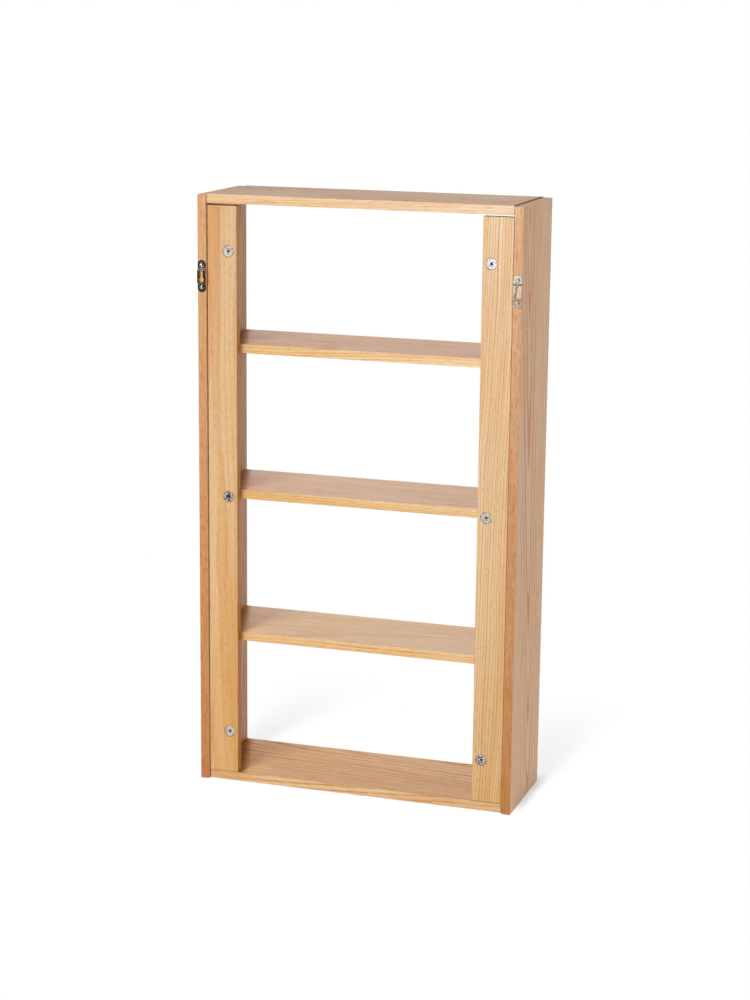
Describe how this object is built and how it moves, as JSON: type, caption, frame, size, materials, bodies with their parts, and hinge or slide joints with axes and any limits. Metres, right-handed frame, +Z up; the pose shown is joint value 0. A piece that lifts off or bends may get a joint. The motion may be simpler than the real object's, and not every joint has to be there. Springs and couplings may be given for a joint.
{
  "type": "wall shelf",
  "caption": "Tall narrow open oak wall shelf with fixed boards between plain sides, back battens pulled tight by turning cam locks, and raised keyhole plates for hanging it.",
  "frame": {"origin": "centre of the footprint at the lower ends of the sides", "axes": "+Z up, -Y out of the open front, +Y towards the wall, +X to the right as seen from the front"},
  "size_m": [0.44, 0.1482, 0.8008],
  "materials": {
    "oak": "oiled, satin",
    "dowel_wood": "raw beech",
    "cam_zinc": "tumbled zinc casting",
    "bolt_steel": "bright zinc plate",
    "hanger_steel": "bright nickel plate",
    "nail_steel": "bright nickel plate"
  },
  "bodies": {
    "carcass": {"side_panel_left": "oak", "side_panel_right": "oak", "top_board": "oak", "shelf_upper": "oak", "shelf_middle": "oak", "shelf_lower": "oak", "bottom_board": "oak", "back_batten_left": "oak", "back_batten_right": "oak", "top_board_dowels": "dowel_wood", "shelf_upper_dowels": "dowel_wood", "shelf_middle_dowels": "dowel_wood", "shelf_lower_dowels": "dowel_wood", "bottom_board_dowels": "dowel_wood", "cam_bolts_left": "bolt_steel", "cam_bolts_right": "bolt_steel", "keyhole_hanger_left": "hanger_steel", "keyhole_hanger_right": "hanger_steel", "hanger_nails_left": "nail_steel", "hanger_nails_right": "nail_steel"},
    "cam_left_upper": {"cam_lock_left_upper": "cam_zinc"},
    "cam_left_middle": {"cam_lock_left_middle": "cam_zinc"},
    "cam_left_lower": {"cam_lock_left_lower": "cam_zinc"},
    "cam_right_upper": {"cam_lock_right_upper": "cam_zinc"},
    "cam_right_middle": {"cam_lock_right_middle": "cam_zinc"},
    "cam_right_lower": {"cam_lock_right_lower": "cam_zinc"}
  },
  "joints": [
    {"name": "cam_left_upper_turn", "type": "hinge", "parent": "carcass", "child": "cam_left_upper", "pos_m": [-0.1782, 0.0676, 0.7268], "axis": [0, 1, 0], "range_deg": [-50, 130]},
    {"name": "cam_left_middle_turn", "type": "hinge", "parent": "carcass", "child": "cam_left_middle", "pos_m": [-0.1782, 0.0676, 0.3988], "axis": [0, 1, 0], "range_deg": [-28, 152]},
    {"name": "cam_left_lower_turn", "type": "hinge", "parent": "carcass", "child": "cam_left_lower", "pos_m": [-0.1782, 0.0676, 0.0708], "axis": [0, 1, 0], "range_deg": [-36, 144]},
    {"name": "cam_right_upper_turn", "type": "hinge", "parent": "carcass", "child": "cam_right_upper", "pos_m": [0.1782, 0.0676, 0.7268], "axis": [0, 1, 0], "range_deg": [-12, 168]},
    {"name": "cam_right_middle_turn", "type": "hinge", "parent": "carcass", "child": "cam_right_middle", "pos_m": [0.1782, 0.0676, 0.3988], "axis": [0, 1, 0], "range_deg": [-20, 160]},
    {"name": "cam_right_lower_turn", "type": "hinge", "parent": "carcass", "child": "cam_right_lower", "pos_m": [0.1782, 0.0676, 0.0708], "axis": [0, 1, 0], "range_deg": [-26, 154]}
  ]
}
